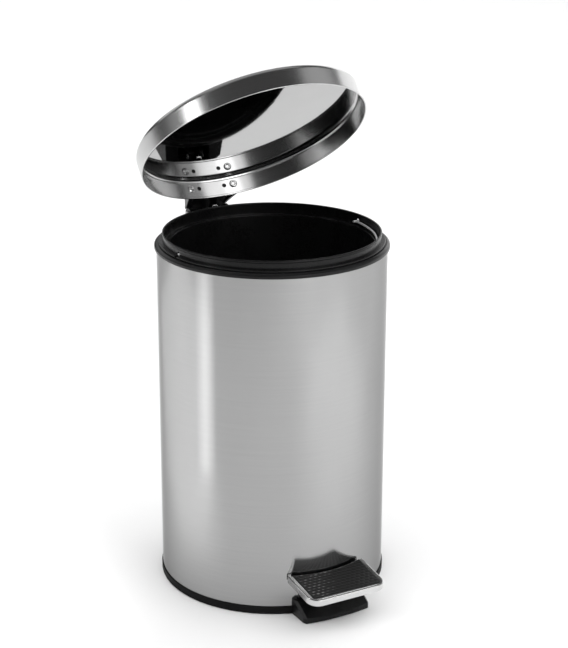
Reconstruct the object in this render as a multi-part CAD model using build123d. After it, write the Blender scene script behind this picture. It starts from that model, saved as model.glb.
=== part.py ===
from build123d import *
import math
import os

# Round pedal can with a lift-out bucket, in millimetres.
# Frame: +Z up, origin on the floor at the can's axis, pedal towards -Y,
# lid hinge towards +Y. The lid is stored open, with the pedal half pressed.

# ---------------------------------------------------------------- dimensions
R_BODY = 125.0          # outer radius of the steel tube
T_BODY = 0.8            # sheet thickness of tube and lid
Z_BODY0 = 9.0           # lower edge of the tube
Z_BODY1 = 381.0         # upper edge of the tube

R_BASE = 126.0          # black ring under the tube
H_BASE = 8.8
R_UP_O = 124.0          # spigot of the base inside the tube
R_UP_I = 121.5
Z_UP = 20.0

R_FLANGE = 127.2        # collar on top of the tube
Z_FLANGE0 = 379.0
Z_FLANGE1 = 384.5
R_MOUTH = 120.4         # opening of the collar

R_NECK = 117.9          # upright neck of the bucket
T_BUCKET = 1.8
Z_NECK = 396.0
Z_LEDGE = 383.0         # inner ledge where the bail lies
R_BUCKET1 = 112.5       # bucket wall under the ledge
R_BUCKET0 = 106.0       # bucket wall at the floor
Z_BUCKET0 = 58.0
BUCKET_TURN = 6.0       # how far the bucket stands turned in the can, degrees

D_BAIL = 2.6            # wire handle
R_BAIL = 113.2
Z_BAIL = 388.0
D_BAIL_HOLE = 5.6

R_LID = 127.5           # lid
Z_LID0 = 384.2          # rim of the closed lid
H_LID = 24.8
R_LID_EDGE = 6.0
LID_OPEN = 39.7         # stored opening, degrees
X_RIVET = 27.0
X_HOLE = 16.0
Z_RIVET = 397.0
D_HOLE = 5.0

Y_HINGE = 155.0         # hinge axis, along X
Z_HINGE = 379.5
D_HINGE_PIN = 5.0
R_KNUCKLE = 7.0
W_KNUCKLE = 19.5        # half width of the lid's knuckle
X_EAR0 = 20.0           # ears of the hinge base
X_EAR1 = 25.0

Y_PIN = 138.5           # lift pin
Z_PIN = 381.5           # its height with the lid stored open
D_PIN = 3.0
CRANK = -33.7           # crank angle of the closed lid, degrees from horizontal
W_SLOT = 5.0            # slot of the crank ribs

D_ROD = 4.0             # lift rod
Y_ROD = 117.5
Z_ROD0 = 30.5

Y_PIVOT = -15.0         # axle of the pedal lever, along X
Z_PIVOT = 30.0
D_PIVOT = 6.0

PEDAL_TILT = 7.2        # slope of the stored pedal, degrees
R_PEDAL = 127.9         # rear edge of the pedal
Y_PEDAL = -174.0        # front edge of the pedal
Z_PEDAL = 45.3
W_PEDAL = 46.5          # half width
T_PEDAL = 1.4
H_LIP = 7.4
R_PAD = 4.0             # front corners of the rubber pad

C = Align.CENTER
N = Align.MIN


# ------------------------------------------------------------------- helpers
def outline(pts, radii, place):
    """Closed face through 2-D points, with a rounded corner where a radius is given."""
    n = len(pts)
    starts, ends, mids = [], [], []
    for i in range(n):
        x0, y0 = pts[i - 1]
        x1, y1 = pts[i]
        x2, y2 = pts[(i + 1) % n]
        r = radii.get(i, 0.0)
        if r <= 0:
            starts.append((x1, y1))
            ends.append((x1, y1))
            mids.append(None)
            continue
        ul = math.hypot(x0 - x1, y0 - y1)
        vl = math.hypot(x2 - x1, y2 - y1)
        u = ((x0 - x1) / ul, (y0 - y1) / ul)
        v = ((x2 - x1) / vl, (y2 - y1) / vl)
        half = math.acos(max(-1.0, min(1.0, u[0] * v[0] + u[1] * v[1]))) / 2
        t = r / math.tan(half)
        bx, by = u[0] + v[0], u[1] + v[1]
        bl = math.hypot(bx, by)
        dist = r / math.sin(half)
        cx, cy = x1 + bx / bl * dist, y1 + by / bl * dist
        mx, my = x1 - cx, y1 - cy
        ml = math.hypot(mx, my)
        starts.append((x1 + u[0] * t, y1 + u[1] * t))
        ends.append((x1 + v[0] * t, y1 + v[1] * t))
        mids.append((cx + mx / ml * r, cy + my / ml * r))
    edges = []
    for i in range(n):
        j = (i + 1) % n
        if mids[i] is not None:
            edges.append(ThreePointArc(place(*starts[i]), place(*mids[i]), place(*ends[i])))
        if math.dist(ends[i], starts[j]) > 1e-6:
            edges.append(Line(place(*ends[i]), place(*starts[j])))
    return make_face(edges)


def ring(pts, radii={}):
    """Body of revolution about Z from (radius, height) points."""
    return revolve(outline(pts, radii, lambda r, z: (r, 0, z)), Axis.Z)


def side(pts, x0, x1, radii={}):
    """Solid with a (y, z) outline between two X planes."""
    f = outline(pts, radii, lambda y, z: (x0, y, z))
    return extrude(f, amount=x1 - x0, dir=(1, 0, 0))


def plan(pts, z0, z1, radii={}):
    """Solid with an (x, y) outline between two heights."""
    f = outline(pts, radii, lambda x, y: (x, y, z0))
    return extrude(f, amount=z1 - z0, dir=(0, 0, 1))


def front(pts, y0, y1, radii={}):
    """Solid with an (x, z) outline between two Y planes, y1 above y0."""
    f = outline(pts, radii, lambda x, z: (x, y0, z))
    return extrude(f, amount=y1 - y0, dir=(0, 1, 0))


def cyl_x(y, z, r, x0, x1):
    return Pos(x0, y, z) * Rot(0, 90, 0) * Cylinder(r, x1 - x0, align=(C, C, N))


def cyl_y(x, z, r, y0, y1):
    return Pos(x, y0, z) * Rot(-90, 0, 0) * Cylinder(r, y1 - y0, align=(C, C, N))


def cyl_z(x, y, r, z0, z1):
    return Pos(x, y, z0) * Cylinder(r, z1 - z0, align=(C, C, N))


def block(x0, x1, y0, y1, z0, z1):
    return Pos(x0, y0, z0) * Box(x1 - x0, y1 - y0, z1 - z0, align=(N, N, N))


def radial(part, az):
    """Turn a part made on the +Y side to an azimuth about Z (0 leaves it at +Y)."""
    return Rot(0, 0, az) * part


HINGE = Axis((0, Y_HINGE, Z_HINGE), (1, 0, 0))


def opened(part):
    """Closed lid position to stored position."""
    return part.rotate(HINGE, -LID_OPEN)


def pressed(part):
    """Flat pedal to stored slope."""
    return part.rotate(Axis((0, -R_PEDAL, Z_PEDAL), (1, 0, 0)), PEDAL_TILT)


nodes = {}

# ---------------------------------------------------------------- outer tube
ri = R_BODY - T_BODY
shell = ring([(ri, Z_BODY0), (R_BODY, Z_BODY0), (R_BODY, Z_BODY1), (ri, Z_BODY1)])
# slot for the pedal lever at the front
shell -= front([(-12.5, 16.5), (12.5, 16.5), (12.5, 42.0), (-12.5, 42.0)], -130, -100,
               {0: 3, 1: 3, 2: 3, 3: 3})
# slot for the lift rod at the back
shell -= front([(-3.8, 303.0), (3.8, 303.0), (3.8, 347.0), (-3.8, 347.0)], 100, 130,
               {0: 3.6, 1: 3.6, 2: 3.6, 3: 3.6})
# screw holes of the hinge base and of the foot
X_HS, Z_HS = 31.0, (311.0, 356.0)
for sx in (-1, 1):
    for z in Z_HS:
        shell -= cyl_y(sx * X_HS, z, 2.0, 100, 140)
    shell -= cyl_y(sx * 25.0, 13.6, 1.85, -140, -100)
nodes["body_shell"] = shell

# ---------------------------------------------------------------------- base
base = ring([(0, 0), (R_BASE, 0), (R_BASE, H_BASE), (R_UP_O, H_BASE), (R_UP_O, Z_UP),
             (R_UP_I, Z_UP), (R_UP_I, 3.0), (0, 3.0)], {1: 1.2, 2: 1.0})
# ways through the spigot for the lever, front and back
base -= block(-16, 16, -126, -110, 13.5, 30)
base -= block(-15, 15, 110, 126, H_BASE, 30)
# lugs of the lever's axle, with gussets
for sx in (-1, 1):
    x0, x1 = (12.5, 17.5) if sx > 0 else (-17.5, -12.5)
    lug = side([(Y_PIVOT - 16, 2.5), (Y_PIVOT + 16, 2.5), (Y_PIVOT + 8, Z_PIVOT + 8),
                (Y_PIVOT - 8, Z_PIVOT + 8)], x0, x1, {2: 7.0, 3: 7.0})
    g0, g1 = (17.0, 27.0) if sx > 0 else (-27.0, -17.0)
    xa, xb = (17.0, 27.0) if sx > 0 else (-17.0, -27.0)
    gus = front([(xa, 2.5), (xb, 2.5), (xa, 22.0)], Y_PIVOT - 1.5, Y_PIVOT + 1.5)
    base += lug + gus
    base -= cyl_x(Y_PIVOT, Z_PIVOT, 4.0, x0 - 1, x1 + 1)
# stiffening ribs of the floor
for k in range(12):
    az = 15 + 30 * k
    rib = block(-1.0, 1.0, 52, 122, 2.8, 7.0)
    base += radial(rib, az)
base += ring([(50.5, 2.8), (53.0, 2.8), (53.0, 7.0), (50.5, 7.0)])
for sx in (-1, 1):
    base -= cyl_y(sx * 25.0, 13.6, 1.85, -140, -100)
nodes["base_dish"] = base

# ---------------------------------------------------------------- front foot
foot = side([(-110.0, 0), (-151.0, 0), (-151.0, 4.2), (-147.5, 6.6), (-127.0, 17.5), (-110.0, 17.5)],
            -40.5, 40.5, {1: 0.8, 2: 1.5, 3: 2.0, 4: 2.0})
# bowed front and rounded front corners
foot &= Pos(0, 49.0, -1) * Cylinder(200.0, 60, align=(C, C, N))
foot &= plan([(-40.5, -105), (-40.5, -149.2), (40.5, -149.2 - 1e-6), (40.5, -105)], -1, 60, {1: 7.0, 2: 7.0}) + block(-30, 30, -155, -140, -1, 60)
# bevels along the two sloping top edges
sl = math.hypot(20.5, 10.9)
sdir = (0, -20.5 / sl, -10.9 / sl)
for sx in (-1, 1):
    bx, by, bz = sx * 0.7071, -0.7071 * 10.9 / sl, 0.7071 * 20.5 / sl
    o = (sx * 40.5 - bx * 1.9, -137.2 - by * 1.9, 12.05 - bz * 1.9)
    foot -= Plane(origin=o, x_dir=sdir, z_dir=(bx, by, bz)) * Box(120, 60, 20, align=(C, C, N))
# upright surround of the slot, against the tube
surround = front([(-37.0, 8.95), (37.0, 8.95), (33.5, 23.0), (31.0, 41.0), (-31.0, 41.0), (-33.5, 23.0)],
                 -140, -100, {3: 4.0, 4: 4.0, 2: 20.0, 5: 20.0})
surround &= Pos(0, 0, 5) * Cylinder(126.6, 50, align=(C, C, N))
foot += surround
foot -= Pos(0, 0, -1) * Cylinder(R_BASE + 0.05, H_BASE + 1.1, align=(C, C, N))
foot -= Cylinder(R_BODY + 0.05, 60, align=(C, C, N))
foot -= front([(-13.0, 16.0), (13.0, 16.0), (13.0, 50.0), (-13.0, 50.0)], -160, -100,
              {0: 3, 1: 3})
for sx in (-1, 1):
    foot -= cyl_y(sx * 25.0, 13.6, 1.75, -133, -100)
nodes["front_foot"] = foot

screws = None
for sx in (-1, 1):
    yi = -math.sqrt(R_UP_I ** 2 - 25.0 ** 2)
    s = cyl_y(sx * 25.0, 13.6, 1.75, -132.5, yi + 1.4)
    s += cyl_y(sx * 25.0, 13.6, 3.4, yi + 1.3, yi + 3.5)
    s -= block(sx * 25.0 - 0.5, sx * 25.0 + 0.5, yi + 2.6, yi + 4, 11.4, 15.8)
    s -= block(sx * 25.0 - 2.2, sx * 25.0 + 2.2, yi + 2.6, yi + 4, 13.1, 14.1)
    screws = s if screws is None else screws + s
nodes["foot_screws"] = screws

# ---------------------------------------------------------------- top collar
collar = ring([(R_MOUTH, 379.0), (121.8, 377.0), (121.8, 366.0), (124.0, 366.0), (124.0, Z_BODY1 + 0.05),
               (125.2, Z_BODY1 + 0.05), (125.2, Z_FLANGE0), (R_FLANGE, Z_FLANGE0),
               (R_FLANGE, 382.6), (124.6, Z_FLANGE1), (R_MOUTH, Z_FLANGE1)],
              {7: 0.8, 8: 1.6, 9: 4.0, 10: 0.6})
nodes["top_collar"] = collar

# -------------------------------------------------------------------- bucket
rn_i = R_NECK - T_BUCKET
bucket = ring([(0, Z_BUCKET0), (R_BUCKET0, Z_BUCKET0), (R_BUCKET1, 380.6), (R_NECK, 380.6),
               (R_NECK, Z_FLANGE1 + 0.3), (122.4, Z_FLANGE1 + 0.3), (122.4, Z_FLANGE1 + 2.2),
               (R_NECK, Z_FLANGE1 + 2.6), (R_NECK, 393.0), (R_NECK + 0.7, 394.0), (R_NECK + 0.7, Z_NECK),
               (rn_i - 0.1, Z_NECK), (rn_i - 0.1, 394.0), (rn_i, 393.2), (rn_i, Z_LEDGE),
               (R_BUCKET1 - T_BUCKET, Z_LEDGE), (R_BUCKET0 - T_BUCKET, Z_BUCKET0 + 2.2), (0, Z_BUCKET0 + 2.2)],
              {1: 6.0, 5: 0.5, 6: 0.8, 10: 1.1, 11: 1.1, 15: 0.8, 16: 4.0})
for sx in (-1, 1):
    hole = cyl_x(0, Z_BAIL, D_BAIL_HOLE / 2, 110, 130) if sx > 0 else cyl_x(0, Z_BAIL, D_BAIL_HOLE / 2, -130, -110)
    bucket -= hole
nodes["inner_bucket"] = Rot(0, 0, BUCKET_TURN) * bucket

# wire bail: half loop between the two holes, ends turned out through them
drop = math.degrees(math.asin((Z_BAIL - (Z_LEDGE + 0.4 + D_BAIL / 2)) / R_BAIL))
rb = 3.2
arc_start = math.degrees(math.asin(rb / (R_BAIL - rb)))
cxb = (R_BAIL - rb) * math.cos(math.radians(arc_start))
end_x = R_NECK + 0.9
dot = Plane.XZ * Pos(R_BAIL, 0) * Circle(D_BAIL / 2)
bail = Rot(0, 0, -180 + arc_start) * revolve(dot, Axis.Z, 180 - 2 * arc_start)
dot = Plane.XZ * Pos(rb, 0) * Circle(D_BAIL / 2)
bend = Pos(cxb, -rb, 0) * Rot(0, 0, -arc_start) * revolve(dot, Axis.Z, 90 + arc_start)
tip = cyl_x(0, 0, D_BAIL / 2, cxb, end_x)
tip = chamfer(tip.edges().group_by(Axis.X)[-1], 0.3)
half = bend + tip
bail = bail + half + half.mirror(Plane.YZ)
bail = Pos(0, 0, Z_BAIL) * Rot(drop, 0, 0) * bail
nodes["bucket_bail"] = Rot(0, 0, BUCKET_TURN) * bail

# ----------------------------------------------------------------------- lid
z0, z1 = Z_LID0, Z_LID0 + H_LID
rl_i = R_LID - T_BODY
lid = ring([(0, z1), (R_LID, z1), (R_LID, z0), (R_LID - 1.7, z0), (R_LID - 1.7, z0 + 2.0), (rl_i, z0 + 2.3),
            (rl_i, z1 - T_BODY), (0, z1 - T_BODY)],
           {1: R_LID_EDGE, 2: 0.7, 3: 0.7, 4: 0.3, 6: R_LID_EDGE - T_BODY})
for sx in (-1, 1):
    az_r = math.degrees(math.asin(X_RIVET / R_LID)) * -sx
    az_h = math.degrees(math.asin(X_HOLE / R_LID)) * -sx
    lid -= radial(cyl_y(0, Z_RIVET, 2.0, 115, 135), az_r)
    lid -= radial(cyl_y(0, Z_RIVET, D_HOLE / 2, 115, 135), az_h)
nodes["lid_shell"] = opened(lid)

# hinge arm on the lid: curved plate on the skirt, tapered shell arm, knuckle and crank ribs
RP0, RP1 = R_LID + 0.05, R_LID + 3.2
plate = ring([(RP0, 387.0), (RP1, 387.0), (RP1, 401.6), (RP0, 401.6)])
plate &= front([(-34.0, 387.0), (34.0, 387.0), (34.0, 401.6), (-34.0, 401.6)], 90, 140,
               {2: 4.0, 3: 4.0})
kn = cyl_x(Y_HINGE, Z_HINGE, R_KNUCKLE, -W_KNUCKLE, W_KNUCKLE)
YH, ZH = Y_HINGE, Z_HINGE
top_line = [(122.0, 401.6), (133.0, 401.6), (YH + 4.0, ZH + 5.7), (YH, ZH), (YH - 5.0, ZH - 1.4), (YH - 6.5, ZH + 8.5),
            (131.0, 398.6), (122.0, 398.6)]
arm_top = side(top_line, -40, 40, {1: 4.0})
taper = plan([(-32.5, 100), (32.5, 100), (32.5, 124.5), (25.5, YH), (25.5, 175), (-25.5, 175),
              (-25.5, YH), (-32.5, 124.5)], 350, 420)
inner = plan([(-29.7, 90), (29.7, 90), (29.7, 124.5), (22.7, YH), (22.7, 180), (-22.7, 180),
              (-22.7, YH), (-29.7, 124.5)], 350, 420)
walls = side([(120.0, 401.0), (133.0, 401.0), (YH + 1.5, ZH + 10.0), (YH + 1.5, ZH + 8.0), (141.0, ZH + 8.0), (131.0, 387.0), (120.0, 387.0)],
             -40, 40, {2: 1.2, 3: 0.6})
walls = (walls & taper) - inner
cheek = side([(120.0, 401.6), (133.0, 401.6), (YH + 1.5, ZH + 10.6), (YH + 1.5, ZH + 8.0), (YH - 2.5, ZH + 8.0), (131.0, 398.6), (120.0, 398.6)],
             -40, 40, {1: 4.0, 2: 1.2, 3: 0.6}) & taper
arm_top = arm_top & block(-W_KNUCKLE, W_KNUCKLE, 100, 200, 340, 420)
walls = walls + cheek
ca = math.radians(CRANK)
u = (-math.cos(ca), math.sin(ca))          # crank direction in (y, z)
v = (u[1], -u[0])                          # square to it, towards the lid


def crank_pt(a, b):
    return (Y_HINGE + u[0] * a + v[0] * b, Z_HINGE + u[1] * a + v[1] * b)


L_CRANK = 25.0
rib_pts = [crank_pt(0, -5.0), crank_pt(L_CRANK, -5.0), crank_pt(L_CRANK, 5.0), crank_pt(0, 5.0)]
if v[1] < 0:
    rib_pts = [crank_pt(0, 5.0), crank_pt(L_CRANK, 5.0), crank_pt(L_CRANK, -5.0), crank_pt(0, -5.0)]
ribs = None
for xa, xb in ((-8.0, -4.4), (4.4, 8.0)):
    r = side(rib_pts, xa, xb, {1: 4.6, 2: 4.6})
    # web of the rib up to the arm
    w = side([(129.5, 399.0), (133.0, 399.6), (YH, ZH + 6.5), (YH, ZH), (YH - 10.0, ZH - 6.5), (YH - 17.5, ZH - 0.5), (129.5, 388.0)], xa, xb)
    ribs = (r + w) if ribs is None else ribs + r + w
bracket = plate + arm_top + walls + kn + ribs
bracket -= cyl_x(Y_HINGE, Z_HINGE, D_HINGE_PIN / 2 + 0.05, -50, 50)
# radial slot for the lift pin
s0, s1 = crank_pt(16.6, 0), crank_pt(21.4, 0)
slot = (cyl_x(s0[0], s0[1], W_SLOT / 2, -12, 12) + cyl_x(s1[0], s1[1], W_SLOT / 2, -12, 12)
        + side([crank_pt(16.6, -W_SLOT / 2), crank_pt(21.4, -W_SLOT / 2), crank_pt(21.4, W_SLOT / 2), crank_pt(16.6, W_SLOT / 2)], -12, 12))
bracket -= slot
# room inside the lid's skirt and around the rod's end block
bracket -= Pos(0, 0, 370) * Cylinder(RP0, 60, align=(C, C, N))
for sx in (-1, 1):
    az_r = math.degrees(math.asin(X_RIVET / R_LID)) * -sx
    bracket -= radial(cyl_y(0, Z_RIVET, 2.0, 115, 150), az_r)
nodes["lid_bracket"] = opened(bracket)

rivets = None
for sx in (-1, 1):
    az_r = math.degrees(math.asin(X_RIVET / R_LID)) * -sx
    yi = rl_i - 0.10
    s = cyl_y(0, Z_RIVET, 2.0, yi - 0.2, RP1 - 0.1)
    head = Pos(0, yi, Z_RIVET) * Rot(90, 0, 0) * Cylinder(4.5, 1.5, align=(C, C, N))
    head = fillet(head.edges().group_by(Axis.Y)[0], 1.1)
    s = radial(s + head, az_r)
    rivets = s if rivets is None else rivets + s
nodes["lid_rivets"] = opened(rivets)

# ---------------------------------------------------------------- hinge base
RH = R_BODY + 0.05
Y_HEAD = math.sqrt((RH + 4.0) ** 2 - X_HS ** 2) - 0.5    # seat of the screw heads
wing = ring([(RH, 300.0), (RH + 4.0, 300.0), (RH + 4.0, 368.0), (RH, 368.0)])
wing &= front([(-38.0, 300.0), (38.0, 300.0), (38.0, 368.0), (-38.0, 368.0)], 100, 140,
              {0: 8, 1: 8, 2: 8, 3: 8})
ear_pts = [(120.0, 300.0), (136.0, 300.0), (YH + 7.4, ZH - 13.0), (YH + 7.4, ZH + 7.4), (YH - 7.4, ZH + 7.4), (YH - 7.4, ZH - 3.0),
           (143.0, 368.0), (120.0, 368.0)]
ears = side(ear_pts, -X_EAR1, X_EAR1, {1: 4.0, 2: 8.0, 3: 7.3, 4: 7.3, 5: 6.0, 6: 8.0})
ears -= side([(100.0, 303.0), (133.4, 303.0), (149.6, 341.5), (149.6, 400.0), (100.0, 400.0)], -X_EAR0, X_EAR0, {1: 3.0})
ears -= block(-X_EAR0, X_EAR0, 140, 180, 352, 400)
# low wall across the back, between the ears
ears += block(-X_EAR0 - 0.5, X_EAR0 + 0.5, 153.0, 155.4, 350.0, 367.0)
# flared hood over the upper screws, open below
hood = plan([(-39.5, 100), (39.5, 100), (35.0, 143.0), (26.0, 149.3), (-26.0, 149.3), (-35.0, 143.0)], 362.5, 378.0)
hood -= plan([(-37.3, 90), (37.3, 90), (32.8, 142.0), (25.2, 147.1), (-25.2, 147.1), (-32.8, 142.0)], 350.0, 375.6)
hood -= block(-X_EAR0, X_EAR0, 90, 180, 350, 400)
hb = wing + ears + hood
hb -= Pos(0, 0, 290) * Cylinder(RH, 120, align=(C, C, N))
hb -= front([(-5.0, 305.0), (5.0, 305.0), (5.0, 380.0), (-5.0, 380.0)], 110, 132, {0: 3, 1: 3})
hb -= cyl_x(Y_HINGE, Z_HINGE, D_HINGE_PIN / 2, -50, 50)
for sx in (-1, 1):
    for z in Z_HS:
        hb -= cyl_y(sx * X_HS, z, 2.0, 100, 160)
        hb -= cyl_y(sx * X_HS, z, 4.3, Y_HEAD, 160)
nodes["hinge_base"] = hb

hs = None
for sx in (-1, 1):
    for z in Z_HS:
        yo = Y_HEAD + 0.02
        yi = math.sqrt(ri ** 2 - (X_HS + 4.0) ** 2) - 0.05
        s = cyl_y(sx * X_HS, z, 2.0, yi - 3.2, yo + 0.3)
        head = Pos(sx * X_HS, yo, z) * Rot(-90, 0, 0) * Cylinder(3.9, 2.4, align=(C, C, N))
        head = fillet(head.edges().group_by(Axis.Y)[-1], 1.4)
        head -= block(sx * X_HS - 0.5, sx * X_HS + 0.5, yo + 1.2, yo + 4, z - 2.4, z + 2.4)
        head -= block(sx * X_HS - 2.4, sx * X_HS + 2.4, yo + 1.2, yo + 4, z - 0.5, z + 0.5)
        nut = Pos(sx * X_HS, yi, z) * Rot(90, 0, 0) * extrude(RegularPolygon(4.0, 6), amount=2.4)
        nut = nut & Pos(0, 0, 250) * Cylinder(ri - 0.05, 200, align=(C, C, N))
        s = s + head + nut
        hs = s if hs is None else hs + s
nodes["hinge_screws"] = hs

hp = cyl_x(Y_HINGE, Z_HINGE, D_HINGE_PIN / 2, -27.8, 27.8)
hp = chamfer(hp.edges().filter_by(GeomType.CIRCLE), 0.5)
nodes["hinge_pin"] = hp
caps = None
for x0, x1 in ((-26.9, -X_EAR1 - 0.1), (X_EAR1 + 0.1, 26.9)):
    c = cyl_x(Y_HINGE, Z_HINGE, 4.6, x0, x1)
    c = fillet(c.edges().group_by(Axis.X)[0 if x0 < 0 else -1], 1.2)
    c -= cyl_x(Y_HINGE, Z_HINGE, D_HINGE_PIN / 2, x0 - 1, x1 + 1)
    caps = c if caps is None else caps + c
nodes["hinge_pin_clips"] = caps

# ------------------------------------------------------------------ lift rod
Z_RE0, Z_RE1 = Z_PIN - 13.5, 392.5          # end block
rod_path = FilletPolyline((14.6, Y_ROD, Z_ROD0), (0, Y_ROD, Z_ROD0), (0, Y_ROD, 317.0), (0, Y_PIN, 343.0), (0, Y_PIN, Z_RE0 + 8.0),
                          radius=[4.0, 12.0, 12.0])
rod = sweep(Plane(origin=rod_path @ 0, z_dir=rod_path % 0) * Circle(D_ROD / 2), path=rod_path)
nodes["lift_rod"] = rod

re = block(-3.3, 3.3, Y_PIN - 3.0, Y_PIN + 3.0, Z_RE0, Z_RE1)
re = chamfer(re.edges().filter_by(Axis.Z), 0.8)
re = chamfer(re.edges().group_by(Axis.Z)[-1], 0.7)
re -= cyl_z(0, Y_PIN, D_ROD / 2, Z_RE0 - 1, Z_RE0 + 8.0)
re -= cyl_x(Y_PIN, Z_PIN, D_PIN / 2, -10, 10)
nodes["lift_rod_end"] = re

lp = cyl_x(Y_PIN, Z_PIN, D_PIN / 2, -10.6, 10.6)
lp = chamfer(lp.edges().filter_by(GeomType.CIRCLE), 0.3)
nodes["lift_pin"] = lp
lc = None
for x0, x1 in ((-9.8, -8.8), (8.8, 9.8)):
    c = cyl_x(Y_PIN, Z_PIN, 2.9, x0, x1) - cyl_x(Y_PIN, Z_PIN, D_PIN / 2, x0 - 1, x1 + 1)
    lc = c if lc is None else lc + c
nodes["lift_pin_clips"] = lc

rc = cyl_x(Y_ROD, Z_ROD0, 4.2, 11.6, 12.8) - cyl_x(Y_ROD, Z_ROD0, D_ROD / 2, 10, 14)
nodes["rod_clip"] = rc

guides = None
for zc in (110.0, 262.0):
    g = plan([(-8, 113.6), (8, 113.6), (8, 128), (-8, 128)], zc - 6, zc + 6, {0: 3, 1: 3})
    g += plan([(-16, 121.2), (16, 121.2), (16, 128), (-16, 128)], zc - 6, zc + 6)
    g &= Pos(0, 0, zc - 10) * Cylinder(ri - 0.03, 20, align=(C, C, N))
    g -= cyl_z(0, Y_ROD, D_ROD / 2 + 0.3, zc - 10, zc + 10)
    guides = g if guides is None else guides + g
nodes["rod_guides"] = guides

# --------------------------------------------------------------- pedal lever
t8 = math.tan(math.radians(PEDAL_TILT))
c8 = math.cos(math.radians(PEDAL_TILT))


def under(d):
    """Height of the pedal plate's underside at a distance in front of the axis."""
    return Z_PEDAL - (d - R_PEDAL) * t8 - T_PEDAL / c8


T_LEV = 2.5
strip_top = [(112.0, 37.0), (-97.0, 37.0), (-111.0, 29.4), (-130.0, 29.4), (-143.0, under(143.0)), (-164.5, under(164.5))]
strip_bot = [(-164.5, under(164.5) - T_LEV), (-144.2, under(144.2) - T_LEV), (-131.3, 26.9), (-111.8, 26.9), (-97.8, 34.5), (112.0, 34.5)]
lever = side(strip_top + strip_bot, -10.0, 10.0,
             {1: 8, 2: 6, 3: 3, 4: 4.5, 7: 2.0, 8: 5.5, 9: 8.5, 10: 5.5})
for sx in (-1, 1):
    xa, xb = (7.8, 10.0) if sx > 0 else (-10.0, -7.8)
    fl = side([(122.6, 36.0), (116.0, 37.0), (-90.0, 37.0), (-95.5, 34.8), (-85.0, 26.5), (-30.0, 24.6), (122.6, 24.6)], xa, xb,
              {0: 2.0, 3: 1.0, 4: 6.0, 6: 4.0})
    lever += fl
lever -= cyl_x(Y_PIVOT, Z_PIVOT, D_PIVOT / 2, -20, 20)
lever -= (cyl_x(Y_ROD - 0.9, Z_ROD0, D_ROD / 2 + 0.35, 0, 20) + cyl_x(Y_ROD + 0.9, Z_ROD0, D_ROD / 2 + 0.35, 0, 20)
          + block(0, 20, Y_ROD - 0.9, Y_ROD + 0.9, Z_ROD0 - D_ROD / 2 - 0.35, Z_ROD0 + D_ROD / 2 + 0.35))
# room for the rod between the flanges
lever -= block(-7.8, 7.8, 112.0, 130.0, 20, 40)

# pedal plate: pressed tray, open at the rear
rx = {1: 13.0, 2: 13.0}
pl = plan([(-W_PEDAL, -100), (-W_PEDAL, Y_PEDAL), (W_PEDAL, Y_PEDAL), (W_PEDAL, -100)], Z_PEDAL - H_LIP, Z_PEDAL, rx)
pl = fillet(pl.edges().group_by(Axis.Z)[-1].filter_by(lambda e: e.center().Y < -101), 1.3)
wi = W_PEDAL - T_PEDAL
rx2 = {1: 11.6, 2: 11.6}
pl -= plan([(-wi, -90), (-wi, Y_PEDAL + T_PEDAL), (wi, Y_PEDAL + T_PEDAL), (wi, -90)], Z_PEDAL - 20, Z_PEDAL - T_PEDAL, rx2)
pl -= Cylinder(R_PEDAL + 1.1, 200)
# shallow bed of the pad
wp, yp = 42.2, Y_PEDAL + 4.4
pl -= plan([(-wp, -90), (-wp, yp), (wp, yp), (wp, -90)], Z_PEDAL - 0.6, Z_PEDAL + 5, {1: R_PAD + 0.3, 2: R_PAD + 0.3})
# fine groove that leaves a raised bead along the plate's edge
groove = plan([(-44.4, -90), (-44.4, Y_PEDAL + 2.1), (44.4, Y_PEDAL + 2.1), (44.4, -90)], Z_PEDAL - 0.35, Z_PEDAL + 5, {1: 10.9, 2: 10.9})
groove -= plan([(-43.5, -95), (-43.5, Y_PEDAL + 3.0), (43.5, Y_PEDAL + 3.0), (43.5, -85)], Z_PEDAL - 5, Z_PEDAL + 9, {1: 10.0, 2: 10.0})
pl -= groove
PR = ((-5.5, -153.0), (5.5, -153.0))
plate_p = pressed(pl)

wq, yq = 41.9, Y_PEDAL + 4.7
pad = plan([(-wq, -90), (-wq, yq), (wq, yq), (wq, -90)], Z_PEDAL - 0.58, Z_PEDAL + 0.9, {1: R_PAD, 2: R_PAD})
# rear lip that covers the plate's edge
lip = block(-wq, wq, -140, -90, Z_PEDAL - 5.2, Z_PEDAL) & Cylinder(R_PEDAL + 1.05, 200)
pad = pad + lip - Cylinder(R_PEDAL, 200)
pad_p = pressed(pad)

prv = None
for x, y in PR:
    s = cyl_z(x, y, 2.0, Z_PEDAL - T_PEDAL - T_LEV - 0.4, Z_PEDAL - 0.6)
    h = cyl_z(x, y, 3.6, Z_PEDAL - T_PEDAL - T_LEV - 1.9, Z_PEDAL - T_PEDAL - T_LEV)
    h = fillet(h.edges().group_by(Axis.Z)[0], 1.2)
    prv = (s + h) if prv is None else prv + s + h
    plate_p -= pressed(cyl_z(x, y, 2.0, 0, 100))
    lever -= pressed(cyl_z(x, y, 2.0, 0, 100))
nodes["pedal_lever"] = lever
nodes["pedal_plate"] = plate_p
nodes["pedal_pad"] = pad_p
nodes["pedal_rivets"] = pressed(prv)

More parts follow.
